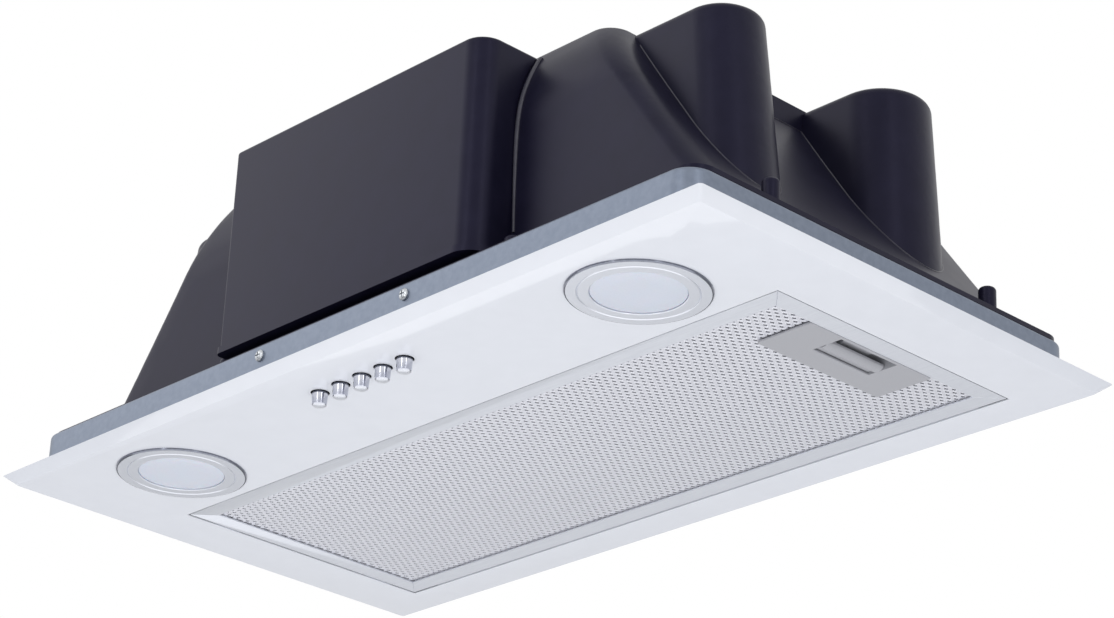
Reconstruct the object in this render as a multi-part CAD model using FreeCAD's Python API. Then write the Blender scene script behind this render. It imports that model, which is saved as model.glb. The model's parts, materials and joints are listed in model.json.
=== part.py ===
import FreeCAD, Part
import math
import os

# Built-in range hood: a painted panel that shows below the cabinet, a steel tray above it, and a
# black moulded fan housing on the tray. Millimetres. X runs along the width, -Y is the user's side,
# +Z is up. The origin is the centre of the plane where the panel's rim meets the cabinet.

# Painted panel
panel_width = 525.0
panel_depth = 290.0
panel_rise = 5.0
panel_margin = 6.0
panel_sheet = 0.8
panel_corner = 2.0
hem_width = 4.0
filter_side_gap = 25.0
filter_front_gap = 83.4
filter_rear_gap = 17.0
opening_lip = 6.0
lip_end_gap = 20.0

# Steel tray
tray_width = 491.0
tray_depth = 267.4
tray_corner = 13.4
tray_top = 21.2
tray_sheet = 0.8
tray_bend = 2.0
tray_top_flange = 24.0
tray_bottom_flange = 8.0
tray_screw_x = 55.0
tray_screw_z = 14.6
tray_screw_radius = 2.0
tray_screw_length = 8.0
tray_screw_head_radius = 3.1
tray_screw_head_height = 1.9
screw_clearance = 0.15
screw_crown = 0.45
screw_shoulder = 0.7
screw_shoulder_height = 0.86
cabinet_hole_radius = 2.25
cabinet_hole_spacing = 360.0
cabinet_hole_z = 9.0

# Fan housing
housing_top = 145.8
housing_wall = 2.2
base_side_gap = 1.0
base_front_gap = 4.2
base_corner = 11.0
base_thickness = 2.5
wall_gap = 24.5
wall_lean = 12.5
wall_lean_start = 105.0
ramp_top_gap = 96.5
ramp_foot_gap = 9.5
ramp_hollow = 1.2
ramp_ridge_radius = 12.0
ramp_rear_radius = 4.0
band_outlines = 4
saddle_reach = 8.5
front_lobe_y = -57.5
front_lobe_reach = 61.0
front_lobe_radius = 20.9
front_lobe_foot_radius = 25.3
front_lobe_foot_lead = 14.1
rear_lobe_y = 60.3
rear_lobe_reach = 64.3
rear_lobe_radius = 25.2
rear_lobe_foot_radius = 30.4
rear_lobe_foot_lead = 7.2
lobe_edge = 5.0
boss_radius = 4.4
boss_top = 35.0
boss_edge = 2.0
side_boss_gap = 4.5
side_boss_y = 76.7
wall_boss_x = 108.6
wall_boss_gap = 15.7
housing_screw_radius = 1.9
housing_screw_length = 9.0
housing_screw_head_radius = 3.6
housing_screw_head_height = 2.2

# Control box on the front of the housing
box_width = 193.0
box_depth = 24.7
box_foot_z = 28.5
box_wall = 2.2
box_right_corner = 12.5
box_left_corner = 2.5
box_edge = 2.0
box_bead_height = 3.7
box_bead = 1.3
seat_gap = 0.3
capacitor_radius = 10.5
capacitor_length = 46.0
capacitor_edge = 1.3
capacitor_gap = 36.5
terminal_gap = 5.0
terminal_depth = 13.0
terminal_height = 15.0
terminal_poles = 4
terminal_well_radius = 2.6
driver_width = 50.0
driver_depth = 15.0
driver_height = 24.0
driver_edge = 1.9
driver_gap = 40.5

# Switch block and push buttons
button_count = 5
button_pitch = 16.0
button_gap = 21.8
button_reach = 7.2
button_base_radius = 4.2
button_end_radius = 3.6
button_collar_radius = 4.45
button_collar_height = 0.7
button_collar_lift = 0.2
button_end_round = 0.6
button_hole_gap = 0.35
button_stem_radius = 2.2
button_stem_gap = 0.3
button_travel = 3.5
button_shoulder = 0.6
switch_width = 92.0
switch_depth = 22.0
switch_edge = 1.5
switch_foot_z = 0.5
switch_top_z = 17.4
switch_stem_depth = 6.5
bracket_sheet = 1.2
bracket_width = 136.0
bracket_foot_z = 2.0

# Lamps
lamp_side_gap = 73.6
lamp_front_gap = 42.2
bezel_radius = 34.75
bezel_flange = 1.2
bezel_groove_radius = 28.6
bezel_groove = 0.5
lens_radius = 22.9
lens_gap = 0.15
lens_shoulder_radius = 26.2
lens_thickness = 1.0
neck_radius = 30.5
neck_wall = 2.4
neck_top_z = 4.0
lamp_hole_gap = 0.5
lamp_body_gap = 0.3
lamp_body_top = 12.0
lamp_fin_count = 8
lamp_fin_depth = 3.0
clip_width = 10.0
clip_sheet = 0.6
clip_reach = 11.0

# Grease filter
filter_gap = 1.0
filter_thickness = 9.0
filter_recess = 0.4
filter_sheet = 0.8
filter_border = 11.5
filter_back_border = 8.0
mesh_sheet = 0.8
mesh_rows = 9
mesh_columns = 25
mesh_strand = 2.4
back_rows = 5
back_columns = 13
back_strand = 5.0
core_gap = 0.2
tab_reach = 8.0
tab_width = 18.0
tab_offset = 55.0
tab_sheet = 1.0
tab_lift = 0.3

# Filter handle and latch
handle_depth = 86.6
handle_width = 35.0
handle_sheet = 1.2
handle_corner = 1.5
handle_shift = -3.5
pocket_left = 15.0
pocket_right = 2.0
pocket_slope = 4.0
pocket_depth = 40.0
pocket_height = 6.6
pocket_wall = 1.2
latch_travel = 2.4
latch_gap = 0.3
latch_grip_width = 7.6
latch_grip_height = 1.5
latch_sheet = 1.2
tongue_width = 20.0
tongue_reach = 1.6
tongue_thickness = 1.5
tongue_post = 2.0
hook_thickness = 2.0

# Fan scroll, outlet on the rear side
fan_y = -20.0
fan_z = 80.0
scroll_radius = 50.0
scroll_step = 9.0
scroll_sheet = 1.5
scroll_half_width = 52.0
tongue_angle = 60.0
inlet_radius = 36.0
inlet_lip = 5.0
inlet_roll_in = 3.5
inlet_roll_along = 3.0
inlet_throat_in = 2.0

# Impeller, shaft and motor
impeller_radius = 40.0
impeller_inner_radius = 33.0
impeller_half_length = 44.0
impeller_ring = 2.5
impeller_disc_x = 4.0
impeller_disc = 2.0
blade_count = 30
blade_sheet = 0.9
blade_camber = 1.6
hub_radius = 9.0
hub_length = 16.0
shaft_radius = 4.0
shaft_gap = 0.05
shaft_length = 44.0
motor_radius = 28.0
motor_length = 60.0
motor_nose_gap = 2.0
motor_edge = 3.0
arm_count = 3
arm_width = 12.0
arm_sheet = 2.0
arm_foot = 8.0
arm_reach = 46.0
bracket_disc_radius = 20.0

# Outlet collar with two non-return flaps
collar_radius = 59.5
collar_wall = 2.0
collar_height = 38.0
collar_flange_width = 136.0
collar_flange_depth = 126.0
collar_flange = 2.0
collar_flange_corner = 10.0
collar_ledge = 3.0
collar_ledge_height = 3.0
collar_ledge_span = 44.0
flap_gap = 1.3
flap_sheet = 1.2
flap_lift = 0.3
flap_pin_radius = 1.5
flap_pin_gap = 0.06
flap_pin_inset = 0.5
flap_knuckle_radius = 2.8
flap_knuckle_length = 40.0
flap_knuckle_gap = 1.0
flap_clear = 0.5

# Cable gland in the housing's top
gland_x = -112.0
gland_y = 45.0
gland_hole_radius = 7.0
gland_bore_radius = 3.6
gland_flange_radius = 10.0
gland_flange = 2.0
gland_height = 11.0
gland_tip_radius = 5.9

# How far cutting tools run past a face, and how near two heights count as one
cut_over = 1.0
near = 1e-6

panel_under = -panel_rise
panel_top = panel_under + panel_sheet
filter_opening_width = tray_width - 2 * filter_side_gap
filter_opening_depth = tray_depth - filter_front_gap - filter_rear_gap
filter_y = (filter_front_gap - filter_rear_gap) / 2
base_width = tray_width - 2 * base_side_gap
base_depth = tray_depth - 2 * base_front_gap
base_top = tray_top + base_thickness
wall_y = base_depth / 2 - wall_gap
wall_top_y = wall_y - wall_lean
ramp_top_x = base_width / 2 - ramp_top_gap
ramp_foot_x = base_width / 2 - ramp_foot_gap
side_boss_x = base_width / 2 - side_boss_gap
wall_boss_y = base_depth / 2 - wall_boss_gap
box_front_y = wall_y + box_depth
capacitor_x = capacitor_gap - box_width / 2
driver_x = box_width / 2 - driver_gap
terminal_width = 2 * (driver_x - driver_width / 2 - terminal_gap)
button_y = button_gap - tray_depth / 2
lamp_x = tray_width / 2 - lamp_side_gap
lamp_y = lamp_front_gap - tray_depth / 2
filter_width = filter_opening_width - 2 * filter_gap
filter_depth = filter_opening_depth - 2 * filter_gap
filter_face = panel_under + filter_recess
filter_back = filter_face + filter_thickness
mesh_face = filter_face + filter_sheet
core_bottom = mesh_face + mesh_sheet
core_top = filter_back - filter_sheet - mesh_sheet
handle_face = mesh_face - handle_sheet
handle_right = filter_width / 2 - filter_border
handle_left = handle_right - handle_width
handle_y = filter_y + handle_shift
pocket_x1 = handle_left + pocket_left
pocket_x2 = handle_right - pocket_right
pocket_roof = handle_face + pocket_height
tongue_foot = pocket_roof - latch_gap - tongue_thickness


def vec(x, y, z):
    return FreeCAD.Vector(x, y, z)


def box(x1, x2, y1, y2, z1, z2):
    return Part.makeBox(x2 - x1, y2 - y1, z2 - z1, vec(x1, y1, z1))


def rod(radius, start, end):
    along = end - start
    return Part.makeCylinder(radius, along.Length, start, along)


def rounded_outline(width, depth, radius, z, x=0.0, y=0.0, rear_radius=None):
    """Closed rectangle outline with round corners, at height z about (x, y)."""
    a = width / 2
    b = depth / 2
    corners = ((1, -1), (1, 1), (-1, 1), (-1, -1))
    edges = []
    ends = []
    for sx, sy in corners:
        r = rear_radius if rear_radius and sy > 0 else radius
        k = r * (1 - math.sqrt(0.5))
        along_y = vec(x + sx * a, y + sy * (b - r), z)
        along_x = vec(x + sx * (a - r), y + sy * b, z)
        middle = vec(x + sx * (a - k), y + sy * (b - k), z)
        first, last = (along_x, along_y) if sx * sy < 0 else (along_y, along_x)
        ends.append((first, middle, last))
    for i, (first, middle, last) in enumerate(ends):
        edges.append(Part.Arc(first, middle, last).toShape())
        edges.append(Part.LineSegment(last, ends[(i + 1) % 4][0]).toShape())
    return Part.Wire(edges)


def plate(width, depth, radius, z1, z2, x=0.0, y=0.0):
    face = Part.Face(rounded_outline(width, depth, radius, z1, x, y))
    return face.extrude(vec(0, 0, z2 - z1))


def polygon(points):
    return Part.Face(Part.makePolygon(list(points) + [points[0]]))


def revolved(points, axis_x, axis_y):
    """Solid of revolution about a vertical axis, from (radius, z) points."""
    face = polygon([vec(axis_x + r, axis_y, z) for r, z in points])
    return face.revolve(vec(axis_x, axis_y, 0), vec(0, 0, 1), 360)


def fused(shapes):
    shapes = list(shapes)
    if len(shapes) == 1:
        return shapes[0]
    return shapes[0].multiFuse(shapes[1:]).removeSplitter()


def mirrored(shape, normal):
    return shape.mirror(vec(0, 0, 0), normal)


def button_places():
    first = -(button_count - 1) / 2 * button_pitch
    return [first + i * button_pitch for i in range(button_count)]


def housing_boss_places():
    places = []
    for sx in (-1, 1):
        for sy in (-1, 1):
            places.append((sx * side_boss_x, sy * side_boss_y))
            places.append((sx * wall_boss_x, sy * wall_boss_y))
    return places


# Panel: a shallow pan with four sloping margins and a narrow hem that seats on the cabinet
def margin_frustum(z1, z2, inset):
    outlines = []
    for z in (z1, z2):
        grow = (z + panel_rise) * panel_margin / panel_rise - panel_margin - inset
        outlines.append(
            rounded_outline(panel_width + 2 * grow, panel_depth + 2 * grow, panel_corner, z)
        )
    return Part.makeLoft(outlines, True, True)


def front_panel():
    slope = math.atan2(panel_rise, panel_margin)
    pan = margin_frustum(panel_under, 0, 0)
    pan = pan.cut(margin_frustum(panel_top, -panel_sheet, panel_sheet / math.sin(slope)))
    pan = pan.cut(
        plate(panel_width - 2 * hem_width, panel_depth - 2 * hem_width, panel_corner,
              -panel_sheet, cut_over)
    )
    half_width = filter_opening_width / 2
    half_depth = filter_opening_depth / 2
    cuts = [
        box(-half_width, half_width, filter_y - half_depth, filter_y + half_depth,
            panel_under - cut_over, cut_over)
    ]
    for side in (-1, 1):
        cuts.append(
            Part.makeCylinder(neck_radius + lamp_hole_gap, panel_rise,
                              vec(side * lamp_x, lamp_y, panel_under - cut_over))
        )
    for x in button_places():
        cuts.append(
            Part.makeCylinder(button_collar_radius + button_hole_gap, panel_rise,
                              vec(x, button_y, panel_under - cut_over))
        )
    pan = pan.cut(fused(cuts))
    lip_half = half_width - lip_end_gap
    lips = []
    for side in (-1, 1):
        edge = filter_y + side * half_depth
        low, high = sorted((edge, edge + side * panel_sheet))
        lips.append(box(-lip_half, lip_half, low, high, panel_under, panel_top + opening_lip))
    return fused([pan] + lips)


# Tray: folded steel with round corners, a wide top flange and a narrow bottom flange
def steel_tray():
    body = plate(tray_width, tray_depth, tray_corner, panel_top, tray_top)
    rim = [e for e in body.Edges if abs(e.BoundBox.ZMin - tray_top) < near]
    body = body.makeFillet(tray_bend, rim)
    inside_width = tray_width - 2 * tray_sheet
    inside_depth = tray_depth - 2 * tray_sheet
    inside_corner = tray_corner - tray_sheet
    body = body.cut(
        plate(inside_width, inside_depth, inside_corner, panel_top + tray_sheet,
              tray_top - tray_sheet - tray_bend)
    )
    upper = plate(inside_width, inside_depth, inside_corner, tray_top - tray_sheet - tray_bend,
                  tray_top - tray_sheet)
    rim = [e for e in upper.Edges if abs(e.BoundBox.ZMin - (tray_top - tray_sheet)) < near]
    body = body.cut(upper.makeFillet(tray_bend - tray_sheet, rim))
    for flange, z1, z2 in (
        (tray_top_flange, tray_top - tray_bend - tray_sheet, tray_top + cut_over),
        (tray_bottom_flange, panel_top - cut_over, panel_top + 2 * tray_sheet),
    ):
        body = body.cut(
            plate(tray_width - 2 * flange, tray_depth - 2 * flange, panel_corner, z1, z2)
        )
    holes = []
    wall = tray_depth / 2
    for x in (-tray_screw_x, tray_screw_x):
        holes.append(
            rod(tray_screw_radius + screw_clearance, vec(x, -wall - cut_over, tray_screw_z),
                vec(x, -wall + cut_over + tray_sheet, tray_screw_z))
        )
    for side in (-1, 1):
        x = side * cabinet_hole_spacing / 2
        holes.append(
            rod(cabinet_hole_radius, vec(x, wall - cut_over - tray_sheet, cabinet_hole_z),
                vec(x, wall + cut_over, cabinet_hole_z))
        )
    for x, y in housing_boss_places():
        holes.append(
            rod(housing_screw_radius + screw_clearance, vec(x, y, tray_top - tray_sheet - cut_over),
                vec(x, y, tray_top + cut_over))
        )
    return body.cut(fused(holes))


def pan_screw(head_radius, head_height, radius, length):
    """Pan-head screw along +Z, with its head's seat at the origin and its shank above."""
    edge = [
        vec(0, 0, -head_height),
        vec(head_radius * screw_shoulder, 0, -head_height * screw_shoulder_height),
        vec(head_radius, 0, -head_height * screw_crown),
    ]
    dome = Part.Arc(*edge).toShape()
    lines = [edge[2], vec(head_radius, 0, 0), vec(radius, 0, 0), vec(radius, 0, length),
             vec(0, 0, length), edge[0]]
    sides = [Part.LineSegment(a, b).toShape() for a, b in zip(lines, lines[1:])]
    face = Part.Face(Part.Wire([dome] + sides))
    return face.revolve(vec(0, 0, 0), vec(0, 0, 1), 360)


def tray_screws():
    screws = []
    for x in (-tray_screw_x, tray_screw_x):
        screw = pan_screw(tray_screw_head_radius, tray_screw_head_height, tray_screw_radius,
                          tray_screw_length)
        screw.rotate(vec(0, 0, 0), vec(1, 0, 0), -90)
        screw.translate(vec(x, -tray_depth / 2, tray_screw_z))
        screws.append(screw)
    return Part.makeCompound(screws)


def housing_screws():
    screws = []
    for x, y in housing_boss_places():
        screw = pan_screw(housing_screw_head_radius, housing_screw_head_height,
                          housing_screw_radius, housing_screw_length)
        screw.translate(vec(x, y, tray_top - tray_sheet))
        screws.append(screw)
    return Part.makeCompound(screws)


# Housing: a hump with sloping ends, a block across its top and four upright lobes
def ramp_arc():
    """Centre and radius of the slightly hollow ramp's arc in the XZ plane, for the right side."""
    top = vec(ramp_top_x, 0, housing_top)
    foot = vec(ramp_foot_x, 0, base_top)
    chord = foot - top
    radius = chord.Length ** 2 / (8 * ramp_hollow) + ramp_hollow / 2
    outward = vec(-chord.z, 0, chord.x).normalize()
    middle = (top + foot) * 0.5
    return middle + outward * (radius - ramp_hollow), radius


def ramp_x(z, inset):
    """Half width of the housing at height z."""
    centre, radius = ramp_arc()
    return centre.x - math.sqrt((radius + inset) ** 2 - (z - centre.z) ** 2)


def wall_at(z, inset):
    """Half depth of the housing at height z: upright walls that curve in towards the top."""
    rise = housing_top - wall_lean_start
    lean = wall_y - wall_top_y
    radius = (rise ** 2 + lean ** 2) / (2 * lean)
    climb = max(0.0, z - wall_lean_start)
    return wall_y - radius + math.sqrt((radius - inset) ** 2 - climb ** 2)


def hump_band(inset, z1, z2):
    """Loft through round-cornered outlines that shrink from height z1 to z2."""
    climb = (z2 - z1) / (band_outlines - 1)
    outlines = []
    for i in range(band_outlines):
        z = z1 + i * climb
        outlines.append(
            rounded_outline(2 * ramp_x(z, inset), 2 * wall_at(z, inset), ramp_ridge_radius - inset, z,
                            rear_radius=ramp_rear_radius - inset)
        )
    return Part.makeLoft(outlines, True, False)


def hump(inset, floor):
    """Main body: two ramps between upright walls that curve in towards the top."""
    heights = (floor, wall_lean_start, housing_top - inset)
    return fused([hump_band(inset, z1, z2) for z1, z2 in zip(heights, heights[1:])])


def lobe_outline(y, radius, end_x, z):
    """Finger outline from the middle of the housing to a round end, about y."""
    centre_x = end_x - radius
    start = vec(ramp_top_x / 2, y - radius, z)
    front = vec(centre_x, y - radius, z)
    tip = vec(end_x, y, z)
    rear = vec(centre_x, y + radius, z)
    back = vec(ramp_top_x / 2, y + radius, z)
    return Part.Wire([
        Part.LineSegment(start, front).toShape(),
        Part.Arc(front, tip, rear).toShape(),
        Part.LineSegment(rear, back).toShape(),
        Part.LineSegment(back, start).toShape(),
    ])


def lobe(y, reach, radius, foot_radius, foot_lead, inset, floor):
    """Upright finger with a round end, wider at its foot than at the top."""
    end_x = ramp_top_x + reach - inset
    top = lobe_outline(y, radius - inset, end_x, housing_top - inset)
    foot = lobe_outline(y, foot_radius - inset, end_x + foot_lead, floor)
    body = Part.makeLoft([foot, top], True, True)
    crown = [
        e for e in body.Edges
        if abs(e.BoundBox.ZMin - (housing_top - inset)) < near and e.BoundBox.XMax > ramp_top_x
    ]
    return body.makeFillet(lobe_edge - inset, crown)


def housing_block(inset, floor):
    saddle_x = ramp_top_x + saddle_reach - inset
    saddle = box(-saddle_x, saddle_x, front_lobe_y, rear_lobe_y, floor, housing_top - inset)
    lobes = [
        lobe(front_lobe_y, front_lobe_reach, front_lobe_radius, front_lobe_foot_radius,
             front_lobe_foot_lead, inset, floor),
        lobe(rear_lobe_y, rear_lobe_reach, rear_lobe_radius, rear_lobe_foot_radius,
             rear_lobe_foot_lead, inset, floor),
    ]
    lobes += [mirrored(shape, vec(1, 0, 0)) for shape in lobes]
    return fused([hump(inset, floor), saddle] + lobes)


def outlet_window(z1, z2):
    """Rectangular way out of the scroll, through the top of the housing."""
    left, right = outlet_span()
    return box(-scroll_half_width, scroll_half_width, left, right, z1, z2)


def housing_moulding():
    body = fused([
        housing_block(0, tray_top),
        plate(base_width, base_depth, base_corner, tray_top, base_top),
    ])
    body = body.cut(housing_block(housing_wall, tray_top - cut_over))
    bosses = []
    for x, y in housing_boss_places():
        boss = rod(boss_radius, vec(x, y, tray_top), vec(x, y, boss_top))
        crown = [e for e in boss.Edges if abs(e.BoundBox.ZMin - boss_top) < near]
        bosses.append(boss.makeFillet(boss_edge, crown))
    body = fused([body] + bosses)
    cuts = [outlet_window(housing_top - housing_wall - cut_over, housing_top + cut_over)]
    for x, y in housing_boss_places():
        cuts.append(
            rod(housing_screw_radius, vec(x, y, tray_top - cut_over),
                vec(x, y, tray_top - tray_sheet + housing_screw_length))
        )
    cuts.append(
        rod(gland_hole_radius, vec(gland_x, gland_y, housing_top - housing_wall - cut_over),
            vec(gland_x, gland_y, housing_top + cut_over))
    )
    return body.cut(fused(cuts))


def lid_space():
    return box(-base_width / 2, base_width / 2, -base_depth / 2, base_depth / 2,
               housing_top - housing_wall, housing_top + cut_over)


def fan_housing():
    """Walls, lobes and foot of the housing, open at the top."""
    return housing_moulding().cut(lid_space())


def housing_lids():
    """Flat top of the housing: four plates about the way out, seated on the housing's walls."""
    window_front, window_rear = outlet_span()
    end_x = base_width / 2
    end_y = base_depth / 2
    spans = {
        "lid_left": (-end_x, -scroll_half_width, -end_y, end_y),
        "lid_right": (scroll_half_width, end_x, -end_y, end_y),
        "lid_front": (-scroll_half_width, scroll_half_width, -end_y, window_front),
        "lid_rear": (-scroll_half_width, scroll_half_width, window_rear, end_y),
    }
    flat_top = housing_moulding().common(lid_space())
    return {
        name: flat_top.common(box(*span, housing_top - housing_wall, housing_top + cut_over))
        for name, span in spans.items()
    }


# Control box: an open-backed cover that hugs the housing's front wall
def box_outline(grow, z):
    left = -box_width / 2 - grow
    right = box_width / 2 + grow
    front = -box_front_y - grow
    back = -wall_top_y + housing_wall
    r1 = box_left_corner + grow
    r2 = box_right_corner + grow
    k = 1 - math.sqrt(0.5)
    p = [
        vec(left, back, z),
        vec(left, front + r1, z),
        vec(left + r1, front, z),
        vec(right - r2, front, z),
        vec(right, front + r2, z),
        vec(right, back, z),
    ]
    return Part.Wire([
        Part.LineSegment(p[0], p[1]).toShape(),
        Part.Arc(p[1], vec(left + r1 * k, front + r1 * k, z), p[2]).toShape(),
        Part.LineSegment(p[2], p[3]).toShape(),
        Part.Arc(p[3], vec(right - r2 * k, front + r2 * k, z), p[4]).toShape(),
        Part.LineSegment(p[4], p[5]).toShape(),
        Part.LineSegment(p[5], p[0]).toShape(),
    ])


def box_prism(grow, z1, z2):
    return Part.Face(box_outline(grow, z1)).extrude(vec(0, 0, z2 - z1))


def control_box():
    body = box_prism(0, box_foot_z, housing_top)
    rim = [
        e for e in body.Edges
        if abs(e.BoundBox.ZMin - housing_top) < near and e.BoundBox.YMin < -wall_y
    ]
    body = body.makeFillet(box_edge, rim)
    body = fused([body, box_prism(box_bead, box_foot_z, box_foot_z + box_bead_height)])
    body = body.cut(box_prism(-box_wall, box_foot_z + box_wall, housing_top - box_wall))
    return body.cut(hump(-seat_gap, tray_top))


def box_floor():
    return box_foot_z + box_wall


def box_front_inside():
    return -box_front_y + box_wall


def capacitor():
    y = (box_front_inside() - wall_y - seat_gap) / 2
    start = vec(capacitor_x, y, box_floor())
    can = rod(capacitor_radius, start, start + vec(0, 0, capacitor_length))
    rims = [e for e in can.Edges if e.BoundBox.ZLength < near]
    return can.makeFillet(capacitor_edge, rims)


def terminal_block():
    front = box_front_inside()
    half = terminal_width / 2
    top = box_floor() + terminal_height
    body = box(-half, half, front, front + terminal_depth, box_floor(), top)
    pitch = terminal_width / terminal_poles
    y = front + terminal_depth / 2
    wells = []
    for i in range(terminal_poles):
        x = -half + (i + 0.5) * pitch
        wells.append(
            rod(terminal_well_radius, vec(x, y, top - terminal_height / 2), vec(x, y, top + cut_over))
        )
    return body.cut(fused(wells))


def led_driver():
    front = box_front_inside()
    body = box(driver_x - driver_width / 2, driver_x + driver_width / 2, front, front + driver_depth,
               box_floor(), box_floor() + driver_height)
    upright = [e for e in body.Edges if e.BoundBox.ZLength > cut_over]
    return body.makeFillet(driver_edge, upright)


# Switch block hangs under a bent bracket that is screwed to the tray's front wall
def switch_bracket():
    wall = -tray_depth / 2 + tray_sheet
    half = bracket_width / 2
    back = button_y + switch_depth / 2
    upright = box(-half, half, wall, wall + bracket_sheet, bracket_foot_z, switch_top_z + bracket_sheet)
    shelf = box(-half, half, wall, back, switch_top_z, switch_top_z + bracket_sheet)
    holes = []
    for x in (-tray_screw_x, tray_screw_x):
        holes.append(
            rod(tray_screw_radius + screw_clearance, vec(x, wall - cut_over, tray_screw_z),
                vec(x, wall + bracket_sheet + cut_over, tray_screw_z))
        )
    return fused([upright, shelf]).cut(fused(holes))


def switch_block():
    body = box(-switch_width / 2, switch_width / 2, button_y - switch_depth / 2,
               button_y + switch_depth / 2, switch_foot_z, switch_top_z)
    upright = [e for e in body.Edges if e.BoundBox.ZLength > cut_over]
    body = body.makeFillet(switch_edge, upright)
    stem_top = switch_foot_z + switch_stem_depth + button_travel + button_stem_gap
    bores = []
    for x in button_places():
        bores.append(
            rod(button_stem_radius + button_stem_gap, vec(x, button_y, switch_foot_z - cut_over),
                vec(x, button_y, stem_top))
        )
    return body.cut(fused(bores))


def push_button(x):
    """Tapered bright cap with a thin collar, on a stem that enters the switch block."""
    end = panel_under - button_reach
    collar_top = panel_under - button_collar_lift
    collar_foot = collar_top - button_collar_height
    shoulder = panel_under + button_shoulder
    points = [
        (0, end),
        (button_end_radius - button_end_round, end),
        (button_end_radius, end + button_end_round),
        (button_base_radius, collar_foot),
        (button_collar_radius, collar_foot),
        (button_collar_radius, collar_top),
        (button_base_radius, collar_top),
        (button_base_radius, shoulder),
        (button_stem_radius, shoulder),
        (button_stem_radius, switch_foot_z + switch_stem_depth),
        (0, switch_foot_z + switch_stem_depth),
    ]
    return revolved(points, x, button_y)


# Round lamp: bezel below the panel, neck through it, lens, lamp body and two sheet clips
def lamp_bezel(x):
    face = panel_under - bezel_flange
    bevel = bezel_flange / 2
    points = [
        (lens_radius, face + bevel / 2),
        (lens_radius + bevel / 2, face),
        (bezel_groove_radius - bezel_groove, face),
        (bezel_groove_radius, face + bezel_groove),
        (bezel_groove_radius + bezel_groove, face),
        (bezel_radius - bevel, face),
        (bezel_radius, face + bevel),
        (bezel_radius, panel_under),
        (neck_radius, panel_under),
        (neck_radius, neck_top_z),
        (neck_radius - neck_wall, neck_top_z),
        (neck_radius - neck_wall, panel_under),
        (lens_radius, panel_under),
    ]
    return revolved(points, x, lamp_y)


def lamp_lens(x):
    radius = lens_radius - lens_gap
    face = panel_under - bezel_flange / 2
    points = [
        (0, face),
        (radius, face),
        (radius, panel_under),
        (lens_shoulder_radius, panel_under),
        (lens_shoulder_radius, panel_under + lens_thickness),
        (0, panel_under + lens_thickness),
    ]
    return revolved(points, x, lamp_y)


def lamp_body(x):
    radius = neck_radius - neck_wall - lamp_body_gap
    bottom = panel_under + lens_thickness
    body = Part.makeCylinder(radius, lamp_body_top - bottom, vec(x, lamp_y, bottom))
    slots = []
    slot = radius / lamp_fin_count
    for i in range(lamp_fin_count):
        offset = -radius + (2 * i + 1) * slot
        slots.append(
            box(x + offset - slot / 2, x + offset + slot / 2, lamp_y - radius - cut_over,
                lamp_y + radius + cut_over, lamp_body_top - lamp_fin_depth, lamp_body_top + cut_over)
        )
    return body.cut(fused(slots))


def lamp_clips(x):
    start = neck_radius
    end = start + clip_reach
    points = [
        (start, neck_top_z),
        (end - 2 * clip_sheet, panel_top + 2 * clip_sheet),
        (end, panel_top + 2 * clip_sheet),
        (end, panel_top),
        (end - 3 * clip_sheet, panel_top),
        (start, neck_top_z - 3 * clip_sheet),
    ]
    neck = rod(neck_radius, vec(x, lamp_y, panel_under), vec(x, lamp_y, neck_top_z + cut_over))
    clips = []
    for side in (-1, 1):
        face = polygon([vec(x + side * r, lamp_y - clip_width / 2, z) for r, z in points])
        clips.append(face.extrude(vec(0, clip_width, 0)).cut(neck))
    return Part.makeCompound(clips)


# Grease filter: a folded frame round two pierced sheets and a knitted core
def filter_plate(trim, z1, z2):
    half_width = filter_width / 2 - trim
    half_depth = filter_depth / 2 - trim
    return box(-half_width, half_width, filter_y - half_depth, filter_y + half_depth, z1, z2)


def filter_frame():
    frame = filter_plate(0, filter_face, filter_back)
    frame = frame.cut(filter_plate(filter_sheet, mesh_face, filter_back - filter_sheet))
    frame = frame.cut(filter_plate(filter_border, filter_face - cut_over, mesh_face))
    frame = frame.cut(
        filter_plate(filter_back_border, filter_back - filter_sheet, filter_back + cut_over)
    )
    half = filter_width / 2
    slot = box(half - filter_sheet - cut_over, half + cut_over,
               handle_y - tongue_width / 2 - latch_gap, handle_y + tongue_width / 2 + latch_gap,
               mesh_face, tongue_foot + tongue_thickness + latch_gap)
    frame = frame.cut(slot)
    tabs = []
    tab_foot = panel_top + tab_lift
    for side in (-1, 1):
        y = filter_y + side * tab_offset
        tabs.append(box(-half - tab_reach, -half, y - tab_width / 2, y + tab_width / 2,
                        tab_foot, tab_foot + tab_sheet))
    return fused([frame] + tabs)


def pocket_hole(z1, z2, clearance):
    """Space that the handle's pocket takes up in the sheets and the core."""
    half = pocket_depth / 2 + pocket_wall + clearance
    return box(pocket_x1 - latch_travel - pocket_wall - latch_sheet - clearance, filter_width / 2,
               handle_y - half, handle_y + half, z1, z2)


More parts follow.
